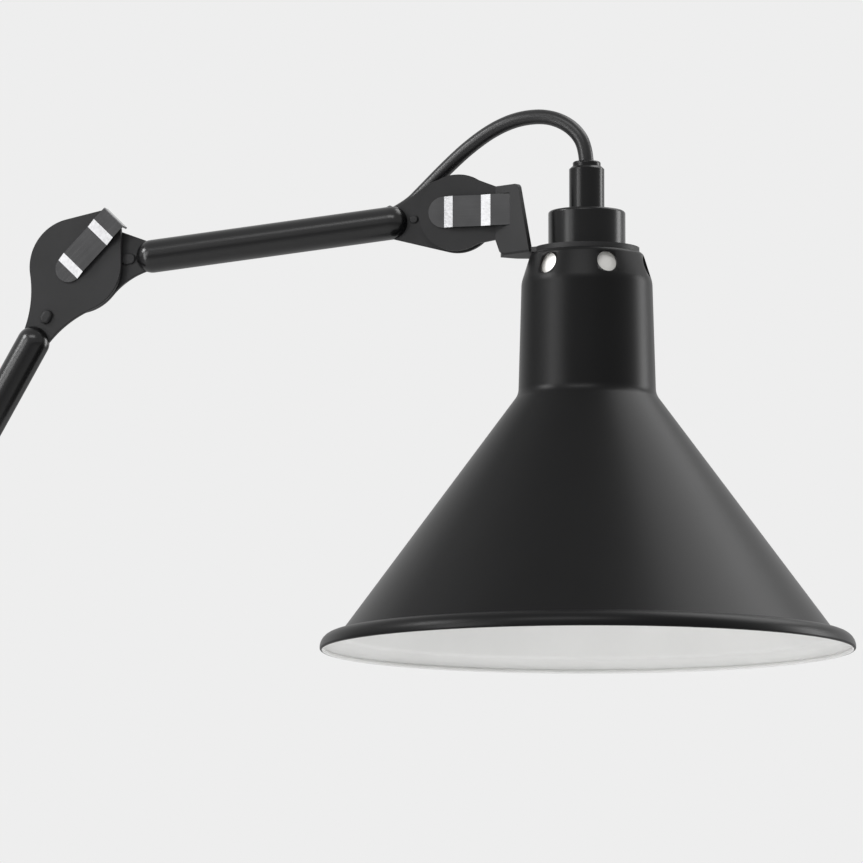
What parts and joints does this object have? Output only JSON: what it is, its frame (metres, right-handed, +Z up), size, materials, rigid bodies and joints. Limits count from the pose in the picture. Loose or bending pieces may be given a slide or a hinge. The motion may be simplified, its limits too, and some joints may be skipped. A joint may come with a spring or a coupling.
{
  "type": "swing arm wall lamp",
  "caption": "Wall lamp with two jointed tube arms on a swivelling wall mount and a conical metal shade hung from a bent sheet bracket with an over-the-top cord.",
  "frame": {"origin": "centre of the canopy and strap on the wall face", "axes": "+X away from the wall, +Z up, and the arms fold in planes parallel to XZ"},
  "size_m": [0.4816, 0.2134, 0.2861],
  "materials": {
    "black_paint": "satin black powder coat, white inside the shade",
    "spring_steel": "bright rolled spring steel",
    "zinc_steel": "zinc plated",
    "black_gland": "satin",
    "cord": "smooth black sheath",
    "lead_sheath": "smooth black inner sheath",
    "grommet_rubber": "matt",
    "friction_fibre": "dark fibre washer",
    "bush_nylon": "black nylon",
    "black_plastic": "moulded",
    "white_plastic": "moulded nylon",
    "porcelain": "glazed white porcelain",
    "brass": "rolled"
  },
  "bodies": {
    "wall_base": {"wall_strap": "zinc_steel", "canopy_screws": "zinc_steel", "terminal_block": "white_plastic", "terminal_screws": "brass", "canopy": "black_paint", "wall_post": "black_paint", "swivel_bushes": "bush_nylon", "post_washer": "zinc_steel", "post_nut": "zinc_steel", "switch_housing": "black_plastic", "feed_lead": "lead_sheath"},
    "swivel": {"swivel_spindle": "black_paint", "swivel_washer": "zinc_steel", "swivel_nut": "zinc_steel", "spindle_lead": "lead_sheath", "base_bracket": "black_paint", "base_clip": "spring_steel", "base_cap": "black_paint", "base_gland": "black_gland", "base_pivot_stud": "zinc_steel", "base_pivot_nut": "zinc_steel", "base_back_washer": "zinc_steel", "base_friction_washer": "friction_fibre", "base_cord": "cord"},
    "lower_arm": {"lower_base_plate": "black_paint", "lower_arm_tube": "black_paint", "lower_elbow_plate": "black_paint", "lower_arm_grommets": "grommet_rubber", "lower_arm_lead": "lead_sheath", "elbow_clip": "spring_steel", "elbow_pivot_stud": "zinc_steel", "elbow_pivot_nut": "zinc_steel", "elbow_back_washer": "zinc_steel", "elbow_friction_washer": "friction_fibre", "elbow_cord": "cord"},
    "upper_arm": {"upper_elbow_plate": "black_paint", "upper_arm_tube": "black_paint", "upper_head_plate": "black_paint", "upper_arm_grommets": "grommet_rubber", "upper_arm_lead": "lead_sheath"},
    "head": {"head_bracket": "black_paint", "head_clip": "spring_steel", "head_pivot_stud": "zinc_steel", "head_pivot_nut": "zinc_steel", "head_back_washer": "zinc_steel", "head_friction_washer": "friction_fibre", "collar": "black_paint", "head_gland": "black_gland", "nipple": "zinc_steel", "head_lead": "lead_sheath", "shade": "black_paint", "lampholder_cap": "porcelain", "lampholder_body": "porcelain", "lampholder_insulator": "porcelain", "lampholder_lock_nut": "zinc_steel", "screw_shell": "brass", "centre_contact": "brass", "head_cord": "cord"},
    "rocker": {"switch_rocker": "black_plastic"}
  },
  "joints": [
    {"name": "base_swivel", "type": "hinge", "parent": "wall_base", "child": "swivel", "pos_m": [0.042, 0, 0], "axis": [0, 0, 1], "range_deg": [-75, 75]},
    {"name": "base_tilt", "type": "hinge", "parent": "swivel", "child": "lower_arm", "pos_m": [0.082, 0, 0.0363], "axis": [0, -1, 0], "range_deg": [-50, 45], "deforming": ["base_cord"]},
    {"name": "elbow_tilt", "type": "hinge", "parent": "lower_arm", "child": "upper_arm", "pos_m": [0.162, 0, 0.17486], "axis": [0, 1, 0], "range_deg": [-20, 60], "deforming": ["elbow_cord"]},
    {"name": "head_tilt", "type": "hinge", "parent": "upper_arm", "child": "head", "pos_m": [0.32118, 0, 0.19103], "axis": [0, -1, 0], "range_deg": [-55, 154], "deforming": ["head_cord"]},
    {"name": "switch_rocker", "type": "hinge", "parent": "wall_base", "child": "rocker", "pos_m": [0.023, 0, -0.033], "axis": [0, 1, 0], "range_deg": [-6, 6]}
  ]
}
